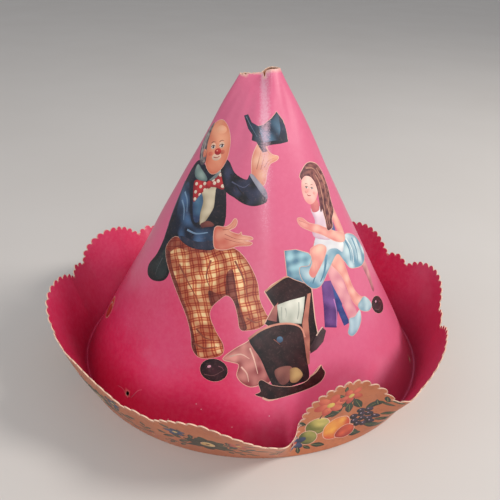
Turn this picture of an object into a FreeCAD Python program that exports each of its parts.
"""Card party hat: an oval crown rolled from one blank, a scored fold at its foot,
and a turned-up scalloped brim in ten hinged panels.

Millimetres. +Z is up, +X is the wearer's left when the printed front (-Y) faces forward.
The origin is the centre of the head opening, on the plane that the fold rests on.
"""
import math
import os

import FreeCAD
import Part

VECTOR = FreeCAD.Vector
UP = VECTOR(0, 0, 1)
PANELS = 10

SIZES = {
    "card_thickness": 0.5,
    "crown_height": 157.0,
    "base_half_width": 95.0,
    "base_half_depth": 80.0,
    "tip_half_width": 8.0,
    "tip_half_depth": 4.0,
    "petal_length": 46.0,
    "lobe_length": 38.5,
    "notch_length": 35.0,
    "petal_share": 0.76,
    "first_petal_place": 0.715,
    "fold_height": 1.0,
    "fold_half_width": 1.2,
    "fold_foot_half_width": 0.5,
    "panel_gap": 0.3,
    "lap_width": 12.0,
    "lap_inset": 3.0,
    "string_hole_diameter": 2.4,
    "left_hole_turn": -43.0,
    "left_hole_height": 11.0,
    "right_hole_turn": 77.0,
    "right_hole_height": 6.0,
    "cut_margin": 5.0,
}
# Rise of each brim panel above the horizontal, in degrees, from the one right of the front.
TILTS = [76.0, 72.0, 75.0, 73.0, 66.0, 62.0, 66.0, 70.0, 69.0, 63.0]

# Card thickness measured level, because the crown wall leans in.
LEVEL_WALL = (
    "sizes.card_thickness / cos(atan((sizes.base_half_width"
    " - sizes.tip_half_width) / sizes.crown_height))"
)


def fill_sheet(doc):
    """Write the driving dimensions into the spreadsheet, one named cell each."""
    sheet = doc.addObject("Spreadsheet::Sheet", "sizes")
    named = dict(SIZES)
    named.update({f"tilt_{k:02d}": tilt for k, tilt in enumerate(TILTS, 1)})
    for row, (name, value) in enumerate(named.items(), 1):
        sheet.set(f"A{row}", name)
        sheet.set(f"B{row}", str(value))
        sheet.setAlias(f"B{row}", name)
    doc.recompute()
    return sheet


def oval(doc, name, half_width, half_depth, height):
    """A level ellipse whose half axes and height are expressions on the sheet."""
    ring = doc.addObject("Part::Ellipse", name)
    ring.setExpression("MajorRadius", half_width)
    ring.setExpression("MinorRadius", half_depth)
    ring.setExpression("Placement.Base.z", height)
    return ring


def frustum(doc, name, low, high):
    """A solid with straight sides between two ovals."""
    loft = doc.addObject("Part::Loft", name)
    loft.Sections = [low, high]
    loft.Solid = True
    loft.Ruled = True
    return loft


def cut(doc, name, base, tool):
    piece = doc.addObject("Part::Cut", name)
    piece.Base = base
    piece.Tool = tool
    return piece


def common(doc, name, base, tool):
    piece = doc.addObject("Part::Common", name)
    piece.Base = base
    piece.Tool = tool
    return piece


def crown_axis(half, tip, height):
    """Half axis of the crown's outer face at a height, as an expression."""
    return f"(sizes.{half} - (sizes.{half} - sizes.{tip}) * ({height}) / sizes.crown_height)"


def crown_frustum(doc, name, walls_in):
    """The crown's volume, drawn in by a number of card thicknesses."""
    ends = []
    for end, height in (("foot", "sizes.fold_height"), ("tip", "sizes.crown_height")):
        axes = [
            f"{crown_axis(half, tip, height)} - {walls_in} * {LEVEL_WALL}"
            for half, tip in (
                ("base_half_width", "tip_half_width"),
                ("base_half_depth", "tip_half_depth"),
            )
        ]
        ends.append(oval(doc, f"{name}_{end}", axes[0], axes[1], height))
    return frustum(doc, name, *ends)


class Crease:
    """The oval crease line: places and directions at a turn from the front."""

    def __init__(self, sheet):
        self.half_width = sheet.base_half_width
        self.half_depth = sheet.base_half_depth
        steps = 3600
        self.turns = [2 * math.pi * i / steps for i in range(steps + 1)]
        self.lengths = [0.0]
        for low, high in zip(self.turns, self.turns[1:]):
            chord = (self.point(high) - self.point(low)).Length
            self.lengths.append(self.lengths[-1] + chord)
        self.pitch = self.lengths[-1] / PANELS

    def point(self, turn):
        return VECTOR(self.half_width * math.sin(turn), -self.half_depth * math.cos(turn), 0)

    def normal(self, turn):
        out = VECTOR(math.sin(turn) / self.half_width, -math.cos(turn) / self.half_depth, 0)
        return out.normalize()

    def turn_at(self, pitches):
        """The turn at a distance along the crease, counted in panel pitches."""
        target = (pitches * self.pitch) % self.lengths[-1]
        i = next(i for i, length in enumerate(self.lengths) if length >= target)
        if i == 0:
            return 0.0
        share = (target - self.lengths[i - 1]) / (self.lengths[i] - self.lengths[i - 1])
        return self.turns[i - 1] + share * (self.turns[i] - self.turns[i - 1])


def face_prism(edges, along):
    wire = Part.Wire(edges)
    return Part.Face(wire).extrude(along)


def polygon_edges(points):
    return [Part.LineSegment(p, q).toShape() for p, q in zip(points, points[1:])]


def panel_blank(sheet, crease, index):
    """The block that a brim panel is cut with: its slits in plan, its scallops in front view.

    The slits run square to the crease, half a gap inside the panel's two ends, and the
    scalloped outline is cut square to the panel's middle.
    """
    tilt = math.radians(sheet.get(f"tilt_{index:02d}"))
    petal_half = sheet.petal_share / 2
    petal = sheet.first_petal_place + index - 1
    left, right = petal - petal_half, petal - petal_half + 1
    middle = crease.turn_at((left + right) / 2)
    origin, out = crease.point(middle), crease.normal(middle)
    along = UP.cross(out)
    reach = sheet.petal_length + sheet.cut_margin

    slits = []
    for place, side in ((left, 1), (right, -1)):
        turn = crease.turn_at(place)
        normal = crease.normal(turn)
        start = crease.point(turn) + UP.cross(normal) * (side * sheet.panel_gap / 2)
        slits.append((start - normal * sheet.cut_margin, start + normal * reach))
    (left_in, left_out), (right_in, right_out) = slits
    plan = polygon_edges([left_in, left_out, right_out, right_in, left_in])
    wedge = face_prism(plan, UP * (sheet.petal_length + sheet.cut_margin))

    def rim(place, length):
        turn = crease.turn_at(place)
        rim_point = crease.point(turn) + crease.normal(turn) * (length * math.cos(tilt))
        across = (rim_point - origin).dot(along)
        return origin + along * across + UP * (length * math.sin(tilt))

    lobe_start = petal + petal_half
    notches = [rim(place, sheet.notch_length) for place in (left, lobe_start, right)]
    petal_top = rim(petal, sheet.petal_length)
    lobe_top = rim((lobe_start + right) / 2, sheet.lobe_length)
    root = UP * (sheet.fold_height + sheet.panel_gap)
    aside = along * crease.pitch
    corners = [
        notches[2],
        notches[2] + aside,
        VECTOR(notches[2].x, notches[2].y, 0) + aside + root,
        VECTOR(notches[0].x, notches[0].y, 0) - aside + root,
        notches[0] - aside,
        notches[0],
    ]
    outline = [
        Part.Arc(notches[0], petal_top, notches[1]).toShape(),
        Part.Arc(notches[1], lobe_top, notches[2]).toShape(),
    ] + polygon_edges(corners)
    inward = out * -crease.pitch
    for edge in outline:
        edge.translate(inward)
    return wedge.common(face_prism(outline, out * (crease.pitch + reach)))


def brim_panel(doc, sheet, crease, index):
    """One petal and its small lobe: a flared oval shell cut to the panel's blank."""
    name = f"brim_panel_{index:02d}"
    tilt = f"sizes.tilt_{index:02d}"
    reach = "(sizes.petal_length + sizes.cut_margin)"
    shells = []
    for side, proud in (("outer", f"sizes.card_thickness / sin({tilt})"), ("inner", "0")):
        low = [f"sizes.{half} + {proud}" for half in ("base_half_width", "base_half_depth")]
        high = [f"{axis} + {reach} * cos({tilt})" for axis in low]
        foot = oval(doc, f"{name}_{side}_foot", low[0], low[1], "0")
        rim = oval(doc, f"{name}_{side}_rim", high[0], high[1], f"{reach} * sin({tilt})")
        shells.append(frustum(doc, f"{name}_{side}", foot, rim))
    flare = cut(doc, f"{name}_flare", *shells)
    blank = doc.addObject("Part::Feature", f"{name}_blank")
    blank.Shape = panel_blank(sheet, crease, index)
    return common(doc, name, flare, blank)


def string_hole(doc, sheet, crease, side):
    """A punched hole for the chin string, square to the card near the crown's foot."""
    turn = math.radians(sheet.get(f"{side}_hole_turn"))
    height = sheet.get(f"{side}_hole_height")
    rise = height / sheet.crown_height
    base = crease.point(turn)
    tip = VECTOR(sheet.tip_half_width * math.sin(turn), -sheet.tip_half_depth * math.cos(turn), 0)
    centre = base * (1 - rise) + tip * rise + UP * height
    up_wall = tip + UP * sheet.crown_height - base
    square = UP.cross(crease.normal(turn)).cross(up_wall).normalize()
    reach = 4 * sheet.card_thickness
    hole = doc.addObject("Part::Cylinder", f"{side}_string_hole")
    hole.setExpression("Radius", "sizes.string_hole_diameter / 2")
    hole.setExpression("Height", "8 * sizes.card_thickness")
    turn_to_wall = FreeCAD.Rotation(UP, square)
    hole.Placement = FreeCAD.Placement(centre - square * reach, turn_to_wall)
    return hole


def crown(doc, sheet, crease):
    """The rolled cone of card, open at the head and at the cut-off tip."""
    outer = crown_frustum(doc, "crown_outer", 0)
    inner = crown_frustum(doc, "crown_inner", 1)
    wall = cut(doc, "crown_wall", outer, inner)
    one_hole = cut(doc, "crown_one_hole", wall, string_hole(doc, sheet, crease, "left"))
    return cut(doc, "crown_cone", one_hole, string_hole(doc, sheet, crease, "right"))


def lap(doc):
    """The blank's glued end, a strip inside the back of the crown."""
    outer = crown_frustum(doc, "lap_outer", 1)
    inner = crown_frustum(doc, "lap_inner", 2)
    layer = cut(doc, "lap_layer", outer, inner)
    window = doc.addObject("Part::Box", "lap_window")
    window.setExpression("Length", "sizes.lap_width")
    window.setExpression("Width", "sizes.base_half_depth")
    window.setExpression(
        "Height", "sizes.crown_height - sizes.fold_height - 2 * sizes.lap_inset"
    )
    window.setExpression("Placement.Base.x", "-sizes.lap_width / 2")
    window.setExpression("Placement.Base.z", "sizes.fold_height + sizes.lap_inset")
    return common(doc, "lap_seam", layer, window)


def fold(doc):
    """The scored fold, the narrow doubled rim that the hat stands on."""
    solids = []
    for side, sign in (("outer", "+"), ("inner", "-")):
        ovals = []
        for end, half, height in (
            ("foot", "fold_foot_half_width", "0"),
            ("top", "fold_half_width", "sizes.fold_height"),
        ):
            axes = [
                f"sizes.{axis} {sign} sizes.{half}"
                for axis in ("base_half_width", "base_half_depth")
            ]
            ovals.append(oval(doc, f"fold_{side}_{end}", axes[0], axes[1], height))
        solids.append(frustum(doc, f"fold_{side}", *ovals))
    return cut(doc, "scored_fold", *solids)


def checked(doc, pieces):
    """Stop if any object failed or any piece isn't one valid solid."""
    for item in doc.Objects:
        if "Invalid" in item.State or "Error" in item.State:
            raise RuntimeError(f"{item.Name} failed: {item.State}")
    for piece in pieces:
        shape = piece.Shape
        if shape.isNull() or not shape.isValid() or len(shape.Solids) != 1:
            raise RuntimeError(f"{piece.Name} is not one valid solid")


def main():
    doc = FreeCAD.newDocument("party_hat")
    sheet = fill_sheet(doc)
    crease = Crease(sheet)
    pieces = [crown(doc, sheet, crease), lap(doc), fold(doc)]
    pieces += [brim_panel(doc, sheet, crease, k) for k in range(1, PANELS + 1)]
    for piece in pieces:
        piece.Label = piece.Name
    doc.recompute()
    checked(doc, pieces)
    os.makedirs("parts", exist_ok=True)
    for piece in pieces:
        piece.Shape.exportStep(os.path.join("parts", f"{piece.Label}.step"))
        box = piece.Shape.BoundBox
        print(
            f"{piece.Label}: {piece.Shape.Volume:.1f} mm3,"
            f" {box.XLength:.1f} x {box.YLength:.1f} x {box.ZLength:.1f}"
        )


main()
